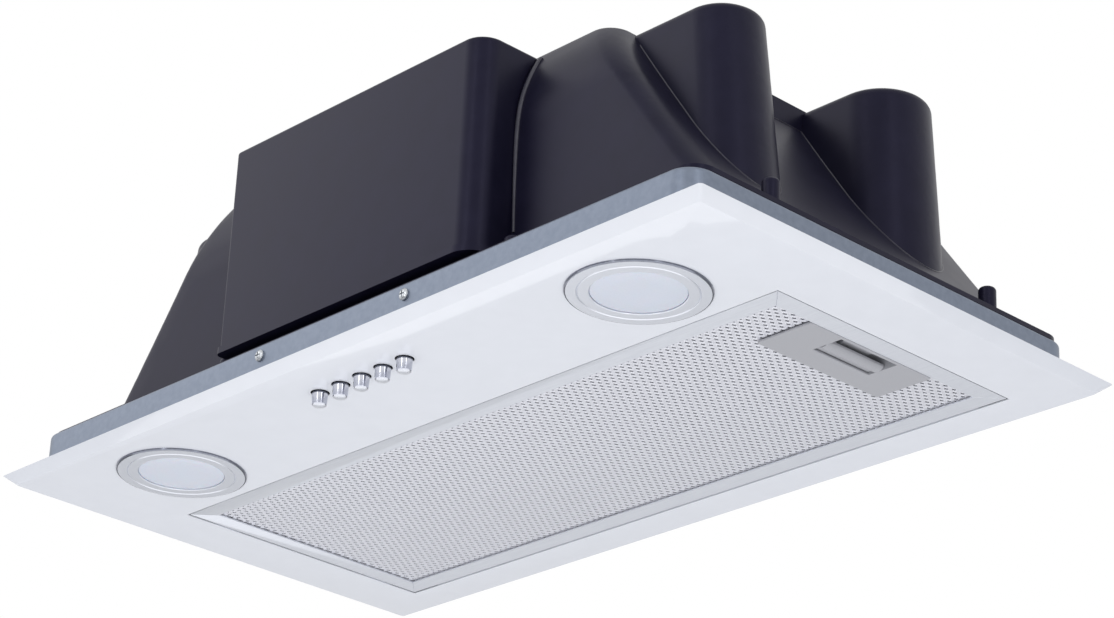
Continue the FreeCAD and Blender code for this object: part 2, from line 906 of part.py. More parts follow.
def pierced_sheet(rows, columns, strand, trim, z1, z2):
    """Sheet with staggered diamond openings, as an expanded metal sheet has."""
    half_width = filter_width / 2 - filter_sheet
    half_depth = filter_depth / 2 - filter_sheet
    step_x = 2 * (filter_width / 2 - trim) / columns
    step_y = 2 * (filter_depth / 2 - trim) / rows
    a = (step_x - strand) / 2
    b = (step_y - strand) / 2
    sheet = box(-half_width, half_width, filter_y - half_depth, filter_y + half_depth, z1, z2)
    holes = []
    for row in range(rows):
        y = filter_y - filter_depth / 2 + trim + (row + 0.5) * step_y
        for column in range(columns):
            x = -filter_width / 2 + trim + (column + 0.5) * step_x
            if x + a > handle_left - strand and abs(y - handle_y) < handle_depth / 2 + b + strand:
                continue
            outline = [vec(x - a, y, z1), vec(x, y - b, z1), vec(x + a, y, z1), vec(x, y + b, z1)]
            holes.append(polygon(outline).extrude(vec(0, 0, z2 - z1)))
    return sheet.cut(Part.makeCompound(holes))


def filter_mesh_front():
    sheet = pierced_sheet(mesh_rows, mesh_columns, mesh_strand, filter_border, mesh_face, core_bottom)
    return sheet.cut(pocket_hole(mesh_face - cut_over, core_bottom + cut_over, 0))


def filter_core():
    core = filter_plate(filter_sheet + core_gap, core_bottom, core_top)
    return core.cut(pocket_hole(core_bottom - cut_over, core_top + cut_over, core_gap))


def filter_mesh_back():
    return pierced_sheet(back_rows, back_columns, back_strand, filter_back_border, core_top,
                         core_top + mesh_sheet)


def filter_handle():
    """Plate on the front sheet with a finger pocket that rises into the filter."""
    half = pocket_depth / 2
    body = plate(handle_width, handle_depth, handle_corner, handle_face, mesh_face,
                 (handle_left + handle_right) / 2, handle_y)
    left = pocket_x1 - latch_travel - latch_sheet
    cup = box(left - pocket_wall, pocket_x2 + pocket_wall, handle_y - half - pocket_wall,
              handle_y + half + pocket_wall, mesh_face, pocket_roof + pocket_wall)
    body = fused([body, cup])
    body = body.cut(box(left, pocket_x2, handle_y - half, handle_y + half, mesh_face, pocket_roof))
    body = body.cut(box(pocket_x1, pocket_x2, handle_y - half, handle_y + half,
                        handle_face - cut_over, pocket_roof))
    y = handle_y - half
    slope = polygon([vec(pocket_x2, y, handle_face), vec(pocket_x2, y, pocket_roof),
                     vec(pocket_x2 - pocket_slope, y, pocket_roof)])
    body = fused([body, slope.extrude(vec(0, pocket_depth, 0))])
    slot_half = tongue_width / 2 + latch_gap
    slot = box(pocket_x2 - pocket_slope - cut_over, pocket_x2 + pocket_wall + cut_over,
               handle_y - slot_half, handle_y + slot_half, tongue_foot - latch_gap, pocket_roof)
    return body.cut(slot)


def latch_slide():
    """Finger grip in the handle's window, with a tongue at the pocket's roof that hooks over the panel."""
    half = pocket_depth / 2 - latch_gap
    y = handle_y - half
    foot = mesh_face + latch_gap
    lid = foot + latch_sheet
    grip_x1 = pocket_x1 + latch_travel
    grip_x2 = grip_x1 + latch_grip_width
    back = pocket_x1 - latch_gap
    crown = vec((grip_x1 + grip_x2) / 2, y, mesh_face - latch_grip_height)
    corners = [vec(grip_x2, y, foot), vec(grip_x2, y, lid), vec(back, y, lid), vec(back, y, foot),
               vec(grip_x1, y, foot)]
    sides = [Part.LineSegment(p, q).toShape() for p, q in zip(corners, corners[1:])]
    outline = Part.Wire([Part.Arc(corners[-1], crown, corners[0]).toShape()] + sides)
    grip = Part.Face(outline).extrude(vec(0, 2 * half, 0))
    tip = filter_opening_width / 2 + tongue_reach
    tongue_top = tongue_foot + tongue_thickness
    y1 = handle_y - tongue_width / 2
    y2 = handle_y + tongue_width / 2
    post = box(back, back + tongue_post, y1, y2, foot, tongue_top)
    tongue = box(back, tip, y1, y2, tongue_foot, tongue_top)
    hook = box(tip - hook_thickness, tip, y1, y2, foot, tongue_top)
    return fused([grip, post, tongue, hook])


# Scroll: three quarter arcs that grow by one step, ending in an upright outlet
def scroll_centres():
    half = scroll_step / 2
    return [(fan_y - half, fan_z - half), (fan_y + half, fan_z - half), (fan_y + half, fan_z + half)]


def arc_point(centre, radius, angle, x):
    turn = math.radians(angle)
    return vec(x, centre[0] + radius * math.cos(turn), centre[1] + radius * math.sin(turn))


def outlet_span():
    """Y of the outlet's two walls, from the cut-off to the outer wall."""
    first, second, third = scroll_centres()
    cut_off = first[0] + scroll_radius * math.cos(math.radians(tongue_angle))
    return cut_off, third[0] + scroll_radius + 2 * scroll_step


def scroll_path(grow, top, x):
    """Edges of the scroll's wall from the top of the cut-off round to the top of the outer wall."""
    first, second, third = scroll_centres()
    r1 = scroll_radius + grow
    r2 = r1 + scroll_step
    r3 = r2 + scroll_step
    cut_y = outlet_span()[0] - grow
    cut_angle = math.degrees(math.acos((cut_y - first[0]) / r1))
    start = arc_point(first, r1, cut_angle, x)
    side = arc_point(first, r1, 180, x)
    bottom = arc_point(second, r2, 270, x)
    out = arc_point(third, r3, 360, x)
    return [
        Part.LineSegment(vec(x, cut_y, top), start).toShape(),
        Part.Arc(start, arc_point(first, r1, (cut_angle + 180) / 2, x), side).toShape(),
        Part.Arc(side, arc_point(second, r2, 225, x), bottom).toShape(),
        Part.Arc(bottom, arc_point(third, r3, 315, x), out).toShape(),
        Part.LineSegment(out, vec(x, out.y, top)).toShape(),
    ]


def scroll_face(grow, x):
    top = housing_top - housing_wall
    edges = scroll_path(grow, top, x)
    first = edges[0].Vertexes[0].Point
    last = edges[-1].Vertexes[-1].Point
    edges.append(Part.LineSegment(last, first).toShape())
    return Part.Face(Part.Wire(edges))


def scroll_wrap():
    x = -scroll_half_width
    along = vec(2 * scroll_half_width, 0, 0)
    return scroll_face(scroll_sheet, x).extrude(along).cut(scroll_face(0, x).extrude(along))


def inlet_ring(x, side):
    """Rolled mouth round the inlet, turned about the fan's axis."""
    p = [
        vec(x, fan_y + inlet_radius + inlet_lip, fan_z),
        vec(x + side * inlet_roll_along, fan_y + inlet_radius + inlet_lip - inlet_roll_in, fan_z),
        vec(x + side * inlet_lip, fan_y + inlet_radius - inlet_throat_in, fan_z),
    ]
    inner = [vec(q.x - side * scroll_sheet / 2, q.y - scroll_sheet, q.z) for q in p]
    inner[0].x = x
    edges = [
        Part.Arc(*p).toShape(),
        Part.LineSegment(p[2], inner[2]).toShape(),
        Part.Arc(inner[2], inner[1], inner[0]).toShape(),
        Part.LineSegment(inner[0], p[0]).toShape(),
    ]
    face = Part.Face(Part.Wire(edges))
    return face.revolve(vec(x, fan_y, fan_z), vec(1, 0, 0), 360)


def scroll_side(side):
    x = side * scroll_half_width
    sheet = scroll_face(scroll_sheet, x).extrude(vec(side * scroll_sheet, 0, 0))
    hole = rod(inlet_radius + inlet_lip - scroll_sheet, vec(x - side * cut_over, fan_y, fan_z),
               vec(x + side * (scroll_sheet + cut_over), fan_y, fan_z))
    return fused([sheet.cut(hole), inlet_ring(x, -side)])


# Impeller, shaft and motor on one axis along X
def blade(x1, x2):
    """One forward-curved blade, a thin arc between the impeller's two radii."""
    def path(shift):
        ends = []
        for radius, lift in ((impeller_inner_radius, 0.0),
                             ((impeller_radius + impeller_inner_radius) / 2, blade_camber),
                             (impeller_radius, 0.0)):
            ends.append(vec(x1, fan_y + radius, fan_z - lift + shift))
        return ends

    low = path(-blade_sheet / 2)
    high = path(blade_sheet / 2)
    outline = Part.Wire([
        Part.Arc(*low).toShape(),
        Part.LineSegment(low[2], high[2]).toShape(),
        Part.Arc(high[2], high[1], high[0]).toShape(),
        Part.LineSegment(high[0], low[0]).toShape(),
    ])
    return Part.Face(outline).extrude(vec(x2 - x1, 0, 0))


def ring_about_axis(x1, x2, outer, inner):
    ring = rod(outer, vec(x1, fan_y, fan_z), vec(x2, fan_y, fan_z))
    return ring.cut(rod(inner, vec(x1 - cut_over, fan_y, fan_z), vec(x2 + cut_over, fan_y, fan_z)))


def impeller():
    end = impeller_half_length
    pieces = [
        ring_about_axis(-end, -end + impeller_ring, impeller_radius, impeller_inner_radius),
        ring_about_axis(end - impeller_ring, end, impeller_radius, impeller_inner_radius),
        ring_about_axis(impeller_disc_x, impeller_disc_x + impeller_disc, impeller_radius, shaft_radius),
        ring_about_axis(impeller_disc_x, impeller_disc_x + hub_length, hub_radius, shaft_radius),
    ]
    one = blade(-end + impeller_ring / 2, end - impeller_ring / 2)
    for i in range(blade_count):
        turned = one.copy()
        turned.rotate(vec(0, fan_y, fan_z), vec(1, 0, 0), i * 360.0 / blade_count)
        pieces.append(turned)
    return fused(pieces)


def shaft_end():
    return impeller_disc_x + hub_length


def motor_nose():
    return impeller_disc_x - motor_nose_gap


def motor_shaft():
    end = shaft_end()
    return rod(shaft_radius, vec(end - shaft_length, fan_y, fan_z), vec(end, fan_y, fan_z))


def motor_body():
    nose = motor_nose()
    can = rod(motor_radius, vec(nose - motor_length, fan_y, fan_z), vec(nose, fan_y, fan_z))
    rims = [e for e in can.Edges if e.BoundBox.XLength < near]
    can = can.makeFillet(motor_edge, rims)
    bore = rod(shaft_radius + shaft_gap, vec(shaft_end() - shaft_length - cut_over, fan_y, fan_z),
               vec(nose + cut_over, fan_y, fan_z))
    return can.cut(bore)


def motor_bracket():
    """Disc behind the motor with three arms that stand on the scroll's left side."""
    face = motor_nose() - motor_length
    seat = -scroll_half_width - scroll_sheet
    pieces = [rod(bracket_disc_radius, vec(face - arm_sheet, fan_y, fan_z), vec(face, fan_y, fan_z))]
    inner = arm_reach - arm_foot
    for i in range(arm_count):
        arm = box(face - arm_sheet, face, fan_y - arm_width / 2, fan_y + arm_width / 2,
                  fan_z, fan_z + arm_reach)
        x1, x2 = sorted((face - arm_sheet, seat))
        foot = box(x1, x2, fan_y - arm_width / 2, fan_y + arm_width / 2,
                   fan_z + inner + arm_foot / 2, fan_z + arm_reach)
        piece = fused([arm, foot])
        piece.rotate(vec(0, fan_y, fan_z), vec(1, 0, 0), (i + 0.5) * 360.0 / arm_count)
        pieces.append(piece)
    return fused(pieces)


# Outlet collar and its flaps
def outlet_y():
    left, right = outlet_span()
    return (left + right) / 2


def collar_ledge_top():
    return housing_top + collar_flange + collar_ledge_height


def flap_axis_z():
    return collar_ledge_top() + flap_lift + flap_sheet / 2


def pin_rod(radius, x1, x2):
    return rod(radius, vec(x1, outlet_y(), flap_axis_z()), vec(x2, outlet_y(), flap_axis_z()))


def outlet_collar():
    """Round spigot on a flange, with two short ledges on which the flaps come to rest."""
    y = outlet_y()
    inner = collar_radius - collar_wall
    flange_top = housing_top + collar_flange
    body = fused([
        plate(collar_flange_width, collar_flange_depth, collar_flange_corner, housing_top,
              flange_top, 0, y),
        Part.makeCylinder(collar_radius, collar_height, vec(0, y, housing_top)),
    ])
    bore = Part.makeCylinder(inner, collar_height + 2 * cut_over, vec(0, y, housing_top - cut_over))
    half = collar_ledge_span / 2
    ring = Part.makeCylinder(inner + cut_over, collar_ledge_height, vec(0, y, flange_top))
    ring = ring.cut(Part.makeCylinder(inner - collar_ledge, collar_ledge_height, vec(0, y, flange_top)))
    ledges = ring.common(box(-half, half, y - collar_radius, y + collar_radius, flange_top,
                             collar_ledge_top()))
    body = fused([body.cut(bore), ledges])
    return body.cut(pin_rod(flap_pin_radius, -collar_radius, collar_radius))


def flap_pin():
    half = collar_radius - flap_pin_inset
    return pin_rod(flap_pin_radius, -half, half)


def check_flap(side):
    """Half disc with one long knuckle; side is +1 for the rear flap and -1 for the front one."""
    y = outlet_y()
    z = flap_axis_z()
    radius = collar_radius - collar_wall - flap_gap
    disc = Part.makeCylinder(radius, flap_sheet, vec(0, y, z - flap_sheet / 2))
    start = flap_knuckle_radius + flap_clear
    low, high = sorted((y + side * start, y + side * 2 * radius))
    half = disc.common(box(-radius, radius, low, high, z - flap_sheet, z + flap_sheet))
    x1, x2 = sorted((side * flap_knuckle_gap, side * (flap_knuckle_gap + flap_knuckle_length)))
    knuckle = pin_rod(flap_knuckle_radius, x1, x2)
    low, high = sorted((y, y + side * (start + cut_over)))
    web = box(x1, x2, low, high, z - flap_sheet / 2, z + flap_sheet / 2)
    flap = fused([half, web, knuckle])
    return flap.cut(pin_rod(flap_pin_radius + flap_pin_gap, x1 - cut_over, x2 + cut_over))


def cable_gland():
    bottom = housing_top - housing_wall
    points = [
        (gland_bore_radius, bottom - gland_flange),
        (gland_flange_radius, bottom - gland_flange),
        (gland_flange_radius, bottom),
        (gland_hole_radius, bottom),
        (gland_hole_radius, housing_top),
        (gland_flange_radius, housing_top),
        (gland_flange_radius, housing_top + gland_flange),
        (gland_tip_radius, housing_top + gland_height),
        (gland_bore_radius, housing_top + gland_height),
    ]
    return revolved(points, gland_x, gland_y)


def make_nodes():
    nodes = {
        "front_panel": front_panel(),
        "steel_tray": steel_tray(),
        "tray_screws": tray_screws(),
        "fan_housing": fan_housing(),
        "housing_screws": housing_screws(),
        "control_box": control_box(),
        "capacitor": capacitor(),
        "terminal_block": terminal_block(),
        "led_driver": led_driver(),
        "switch_bracket": switch_bracket(),
        "switch_block": switch_block(),
        "filter_frame": filter_frame(),
        "filter_mesh_front": filter_mesh_front(),
        "filter_core": filter_core(),
        "filter_mesh_back": filter_mesh_back(),
        "filter_handle": filter_handle(),
        "latch_slide": latch_slide(),
        "scroll_wrap": scroll_wrap(),
        "scroll_side_left": scroll_side(-1),
        "scroll_side_right": scroll_side(1),
        "impeller": impeller(),
        "motor_shaft": motor_shaft(),
        "motor_body": motor_body(),
        "motor_bracket": motor_bracket(),
        "outlet_collar": outlet_collar(),
        "flap_pin": flap_pin(),
        "flap_rear": check_flap(1),
        "flap_front": check_flap(-1),
        "cable_gland": cable_gland(),
    }
    nodes.update(housing_lids())
    for i, x in enumerate(button_places()):
        nodes["button_%d" % (i + 1)] = push_button(x)
    for name, side in (("left", -1), ("right", 1)):
        nodes["lamp_bezel_" + name] = lamp_bezel(side * lamp_x)
        nodes["lamp_lens_" + name] = lamp_lens(side * lamp_x)
        nodes["lamp_body_" + name] = lamp_body(side * lamp_x)
        nodes["lamp_clips_" + name] = lamp_clips(side * lamp_x)
    return nodes


os.makedirs("parts", exist_ok=True)
for name, shape in make_nodes().items():
    shape.exportStep("parts/%s.step" % name)
    print(name, len(shape.Solids), "solids", round(shape.Volume), "mm3", "valid", shape.isValid())
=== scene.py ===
import json
import math
import bmesh
import bpy
from mathutils import Matrix, Vector


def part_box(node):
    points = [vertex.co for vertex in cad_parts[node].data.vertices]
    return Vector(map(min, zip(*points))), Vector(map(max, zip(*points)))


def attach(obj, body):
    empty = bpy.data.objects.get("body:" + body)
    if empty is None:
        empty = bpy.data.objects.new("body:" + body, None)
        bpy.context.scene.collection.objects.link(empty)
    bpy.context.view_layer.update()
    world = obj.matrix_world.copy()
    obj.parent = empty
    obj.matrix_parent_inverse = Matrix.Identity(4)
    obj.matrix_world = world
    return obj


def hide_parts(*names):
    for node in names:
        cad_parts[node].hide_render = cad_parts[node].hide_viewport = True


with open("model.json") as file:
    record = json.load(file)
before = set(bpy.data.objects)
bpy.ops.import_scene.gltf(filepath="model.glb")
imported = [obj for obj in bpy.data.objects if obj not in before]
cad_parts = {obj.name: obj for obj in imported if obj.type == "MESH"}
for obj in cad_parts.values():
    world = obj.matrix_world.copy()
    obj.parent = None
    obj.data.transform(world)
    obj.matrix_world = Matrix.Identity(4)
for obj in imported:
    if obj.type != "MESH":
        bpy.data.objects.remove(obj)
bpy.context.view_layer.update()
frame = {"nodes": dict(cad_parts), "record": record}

mm = 0.001  # the pieces' lengths below are in mm, the stage's in metres
weld = 0.002 * mm  # corners of a mesh closer than this become one
near = 0.01 * mm  # places closer than this count as the same
nodes = frame["nodes"]
sides = {"left": -1, "right": 1}
print("frame loaded:", len(nodes), "nodes")


# sRGB hex to the linear colour that Blender's sockets take
def hexColour(code):
    channels = [int(code[i:i + 2], 16) / 255 for i in (1, 3, 5)]
    return tuple(c / 12.92 if c <= 0.04045 else ((c + 0.055) / 1.055) ** 2.4 for c in channels) + (1.0,)


# adds one node: plain settings by attribute, sockets by name or index, links from other sockets
def addNode(tree, kind, settings=None, sockets=None, links=None):
    node = tree.nodes.new(kind)
    for name, value in (settings or {}).items():
        setattr(node, name, value)
    for name, value in (sockets or {}).items():
        node.inputs[name].default_value = value
    for name, source in (links or {}).items():
        tree.links.new(source, node.inputs[name])
    return node


# a material with an empty tree, its Principled shader and the piece's own coordinates
def startFinish(name, sockets):
    finish = bpy.data.materials.new(name)
    finish.use_nodes = True
    tree = finish.node_tree
    tree.nodes.clear()
    shader = addNode(tree, "ShaderNodeBsdfPrincipled", None, sockets)
    addNode(tree, "ShaderNodeOutputMaterial", None, None, {"Surface": shader.outputs[0]})
    place = addNode(tree, "ShaderNodeTexCoord").outputs["Object"]
    return finish, tree, shader, place


# noise, a colour ramp between two colours, a roughness range and a small bump from the same noise
def grainFinish(name, grain, sockets):
    finish, tree, shader, place = startFinish(name, sockets)
    stretch = addNode(tree, "ShaderNodeMapping", None, {"Scale": grain.get("stretch", (1, 1, 1))},
                      {"Vector": place})
    noise = addNode(tree, "ShaderNodeTexNoise", None,
                    {"Scale": 1 / (grain["size"] * mm), "Detail": grain.get("detail", 3.0)},
                    {"Vector": stretch.outputs[0]})
    ramp = addNode(tree, "ShaderNodeValToRGB", None, None, {"Fac": noise.outputs["Fac"]})
    darkEnd, lightEnd = ramp.color_ramp.elements
    darkEnd.position, lightEnd.position = 0.3, 0.7  # most of the noise lies between these
    darkEnd.color, lightEnd.color = hexColour(grain["dark"]), hexColour(grain["light"])
    tree.links.new(ramp.outputs["Color"], shader.inputs["Base Color"])
    rough = addNode(tree, "ShaderNodeMapRange", None, {"To Min": grain["smooth"], "To Max": grain["rough"]},
                    {"Value": noise.outputs["Fac"]})
    tree.links.new(rough.outputs[0], shader.inputs["Roughness"])
    bump = addNode(tree, "ShaderNodeBump", None, {"Strength": grain["bump"], "Distance": grain["depth"] * mm},
                   {"Height": noise.outputs["Fac"]})
    tree.links.new(bump.outputs[0], shader.inputs["Normal"])
    return finish


# Finishes
# baked white enamel on pressed steel: even, glossy, with a faint orange peel of about 12 mm
bakedEnamel = grainFinish("bakedEnamel", {
    "size": 12.0, "detail": 1.0, "dark": "#DDE0E8", "light": "#DFE2EA", "smooth": 0.27, "rough": 0.30,
    "bump": 0.01, "depth": 0.05}, {"Specular IOR Level": 0.3, "Coat Weight": 0.8, "Coat Roughness": 0.03})
# hot-dip zinc on sheet steel: dull blue grey with spangle a few millimetres across
galvanisedSteel = grainFinish("galvanisedSteel", {
    "size": 3.0, "detail": 5.0, "dark": "#757E8E", "light": "#808999", "smooth": 0.38, "rough": 0.48,
    "bump": 0.03, "depth": 0.03}, {"Metallic": 0.75})
# black ABS moulded in a polished tool: deep blue black, soft reflections, slight flow marks
blackAbs = grainFinish("blackAbs", {
    "size": 14.0, "detail": 4.0, "dark": "#141324", "light": "#1A192B", "smooth": 0.34, "rough": 0.40,
    "bump": 0.04, "depth": 0.10},
    {"IOR": 1.2, "Specular IOR Level": 1.0, "Specular Tint": hexColour("#D6D3FA")})
# the same plastic along raised beads and seams, painted a little paler: a painted highlight where they catch
# the light
rubbedAbs = grainFinish("rubbedAbs", {
    "size": 5.0, "dark": "#2E2D3A", "light": "#3E3D4A", "smooth": 0.30, "rough": 0.40,
    "bump": 0.04, "depth": 0.05}, {"Specular IOR Level": 0.5})
# black polypropylene with a fine eroded texture, duller than the housing
blackPolypropylene = grainFinish("blackPolypropylene", {
    "size": 0.9, "dark": "#17171B", "light": "#222226", "smooth": 0.42, "rough": 0.56,
    "bump": 0.10, "depth": 0.04}, {"Specular IOR Level": 0.4})
# chrome plate on moulded caps: mirror bright with a slight haze
chromePlate = grainFinish("chromePlate", {
    "size": 6.0, "dark": "#C6C8D2", "light": "#CCCED8", "smooth": 0.04, "rough": 0.07,
    "bump": 0.01, "depth": 0.005}, {"Metallic": 1.0})
# the same plate in the shade of the panel, at the caps' collars
shadedChrome = grainFinish("shadedChrome", {
    "size": 1.5, "dark": "#565964", "light": "#666974", "smooth": 0.16, "rough": 0.24,
    "bump": 0.02, "depth": 0.01}, {"Metallic": 1.0})
# polished nickel on the lamps' outer edges, painted darker for the panel's shade: a dark, sharp line round
# each lamp
polishedNickel = grainFinish("polishedNickel", {
    "size": 2.0, "dark": "#7E818C", "light": "#888B96", "smooth": 0.10, "rough": 0.16,
    "bump": 0.02, "depth": 0.01}, {"Metallic": 1.0})
# satin chrome on the caps' ends: pale, without mirror images
satinChrome = grainFinish("satinChrome", {
    "size": 0.8, "dark": "#CDD0D8", "light": "#DCDFE6", "smooth": 0.24, "rough": 0.34,
    "bump": 0.05, "depth": 0.02}, {"Metallic": 0.7})
# rolled aluminium with fine drawn lines along the width
rolledAluminium = grainFinish("rolledAluminium", {
    "size": 0.8, "stretch": (0.06, 1, 1), "dark": "#D3D6DE", "light": "#DADDE4",
    "smooth": 0.40, "rough": 0.48, "bump": 0.02, "depth": 0.02}, {"Metallic": 0.6})
# bright expanded aluminium sheet, cut edges catch the light
expandedAluminium = grainFinish("expandedAluminium", {
    "size": 1.2, "dark": "#ECEDF6", "light": "#F6F7FE", "smooth": 0.28, "rough": 0.42,
    "bump": 0.05, "depth": 0.02}, {"Metallic": 0.6})
# knitted aluminium wire inside the filter, painted dark for the shade it mostly lies in
knittedAluminium = grainFinish("knittedAluminium", {
    "size": 2.0, "dark": "#2A2B30", "light": "#6C6E74", "smooth": 0.40, "rough": 0.60,
    "bump": 0.5, "depth": 0.6}, {"Metallic": 0.7})
# mid grey ABS with a fine spark-eroded texture
greyAbs = grainFinish("greyAbs", {
    "size": 0.5, "dark": "#A0A1A7", "light": "#A7A8AE", "smooth": 0.44, "rough": 0.56,
    "bump": 0.08, "depth": 0.03}, {"Specular IOR Level": 0.4})
# bright zinc plate on small screws
zincPlate = grainFinish("zincPlate", {
    "size": 0.7, "dark": "#B4B8BD", "light": "#D0D3D7", "smooth": 0.22, "rough": 0.36,
    "bump": 0.05, "depth": 0.02}, {"Metallic": 1.0})
# opal polycarbonate diffuser: milky, a little light passes below its surface
opalDiffuser = grainFinish("opalDiffuser", {
    "size": 0.6, "dark": "#C7CCD8", "light": "#CCD1DD", "smooth": 0.30, "rough": 0.38,
    "bump": 0.03, "depth": 0.01}, {"Subsurface Weight": 0.15, "Subsurface Scale": 0.002})
# grey satin paint on the motor's shell
motorPaint = grainFinish("motorPaint", {
    "size": 1.5, "dark": "#34363A", "light": "#3E4045", "smooth": 0.34, "rough": 0.46,
    "bump": 0.05, "depth": 0.03}, {"Specular IOR Level": 0.5})
# ground steel for shafts, pins and spring clips
groundSteel = grainFinish("groundSteel", {
    "size": 0.4, "stretch": (1, 0.1, 1), "dark": "#A9ADB3", "light": "#BEC2C7",
    "smooth": 0.22, "rough": 0.34, "bump": 0.04, "depth": 0.01}, {"Metallic": 1.0})
# dark grey nylon of the impeller, slightly mottled by its glass filling
filledNylon = grainFinish("filledNylon", {
    "size": 1.0, "dark": "#2B2C30", "light": "#393A3F", "smooth": 0.44, "rough": 0.60,
    "bump": 0.10, "depth": 0.04}, {"Specular IOR Level": 0.4})
# black rubber, nearly without gloss
softRubber = grainFinish("softRubber", {
    "size": 0.8, "dark": "#141415", "light": "#1D1D1F", "smooth": 0.62, "rough": 0.78,
    "bump": 0.12, "depth": 0.05}, {"Specular IOR Level": 0.3})
# off-white nylon of the terminals and the capacitor's case, slightly waxy
paleNylon = grainFinish("paleNylon", {
    "size": 0.8, "dark": "#D2CFC6", "light": "#DEDBD3", "smooth": 0.40, "rough": 0.52,
    "bump": 0.06, "depth": 0.03}, {"Specular IOR Level": 0.45})
# dark nylon of the switches and the lamps' driver
darkNylon = grainFinish("darkNylon", {
    "size": 0.8, "dark": "#1D1E21", "light": "#28292D", "smooth": 0.40, "rough": 0.54,
    "bump": 0.06, "depth": 0.03}, {"Specular IOR Level": 0.45})
# die-cast lamp body, pale and grainy
castAlloy = grainFinish("castAlloy", {
    "size": 0.9, "dark": "#A4A7AC", "light": "#B9BCC1", "smooth": 0.40, "rough": 0.56,
    "bump": 0.12, "depth": 0.05}, {"Metallic": 0.9})
print("finishes ready")


# satin nickel, turned on a lathe: rings about the lamp's own centre, coarser than real ones so that they show
turning = {"colour": "#E2E5ED", "ring": 0.35, "smooth": 0.26, "rough": 0.40, "bump": 0.10, "depth": 0.02}


def turnedNickel(side):
    low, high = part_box("lamp_bezel_" + side)
    centre = (low + high) / 2
    finish, tree, shader, place = startFinish("turnedNickel" + side.title(), {
        "Metallic": 0.9, "Base Color": hexColour(turning["colour"])})
    about = addNode(tree, "ShaderNodeMapping", None, {"Location": (-centre.x, -centre.y, 0)},
                    {"Vector": place})
    flat = addNode(tree, "ShaderNodeVectorMath", {"operation": "MULTIPLY"}, {1: (1, 1, 0)},
                   {0: about.outputs[0]})
    reach = addNode(tree, "ShaderNodeVectorMath", {"operation": "LENGTH"}, None, {0: flat.outputs[0]})
    turns = addNode(tree, "ShaderNodeTexNoise", {"noise_dimensions": "1D"},
                    {"Scale": 1 / (turning["ring"] * mm), "Detail": 2.0}, {"W": reach.outputs["Value"]})
    rough = addNode(tree, "ShaderNodeMapRange", None,
                    {"To Min": turning["smooth"], "To Max": turning["rough"]},
                    {"Value": turns.outputs["Fac"]})
    tree.links.new(rough.outputs[0], shader.inputs["Roughness"])
    bump = addNode(tree, "ShaderNodeBump", None,
                   {"Strength": turning["bump"], "Distance": turning["depth"] * mm},
                   {"Height": turns.outputs["Fac"]})
    tree.links.new(bump.outputs[0], shader.inputs["Normal"])
    return finish


# Pieces
# a bmesh becomes an object that rides on a body and takes a finish
def addPiece(name, bm, finish, body, replaced=(), sharpAngle=35):
    for face in bm.faces:
        face.smooth = True
    for edge in bm.edges:
        if len(edge.link_faces) == 2 and edge.calc_face_angle() > math.radians(sharpAngle):
            edge.smooth = False
    mesh = bpy.data.meshes.new(name)
    bm.to_mesh(mesh)
    bm.free()
    piece = bpy.data.objects.new(name, mesh)
    bpy.context.scene.collection.objects.link(piece)
    for each in finish if isinstance(finish, (list, tuple)) else [finish]:
        mesh.materials.append(each)
    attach(piece, body)
    if replaced:
        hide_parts(*replaced)
    return piece


# the body that the record gives a CAD node
def bodyOf(nodeName):
    for body, members in frame["record"]["behaviour"]["bodies"].items():
        if nodeName in members:
            return body


# a merged copy of a CAD node, with its edges broken where asked, stands for the node
def dressedCopy(nodeName, finish, edge=0.0, sharpAngle=28):
    bm = bmesh.new()
    bm.from_mesh(nodes[nodeName].data)
    bmesh.ops.remove_doubles(bm, verts=bm.verts, dist=weld)
    if edge:
        bmesh.ops.dissolve_limit(bm, angle_limit=math.radians(0.2), verts=bm.verts, edges=bm.edges)
        picked = [e for e in bm.edges
                  if len(e.link_faces) == 2 and e.calc_face_angle() > math.radians(sharpAngle)]
        bmesh.ops.bevel(bm, geom=picked, offset=edge * mm, affect="EDGES", segments=2, profile=0.5,
                        material=-1, clamp_overlap=True)
        sharpAngle = 12  # keeps the flat faces flat beside the broken edge
    first, *others = nodeName.split("_")
    name = first + "".join(w.title() for w in others)
    return addPiece(name, bm, finish, bodyOf(nodeName), [nodeName], sharpAngle)


# a closed shape of revolution about a vertical axis, from (radius, height) pairs in mm
def turned(bm, profile, centre, steps):
    points = [bm.verts.new((centre.x + r * mm, centre.y, z * mm)) for r, z in profile]
    lines = [bm.edges.new(pair) for pair in zip(points, points[1:])]
    bmesh.ops.spin(bm, geom=points + lines, cent=centre, axis=(0, 0, 1), angle=math.tau, steps=steps,
                   use_merge=True)
    bmesh.ops.remove_doubles(bm, verts=bm.verts, dist=weld)
    bmesh.ops.recalc_face_normals(bm, faces=bm.faces)


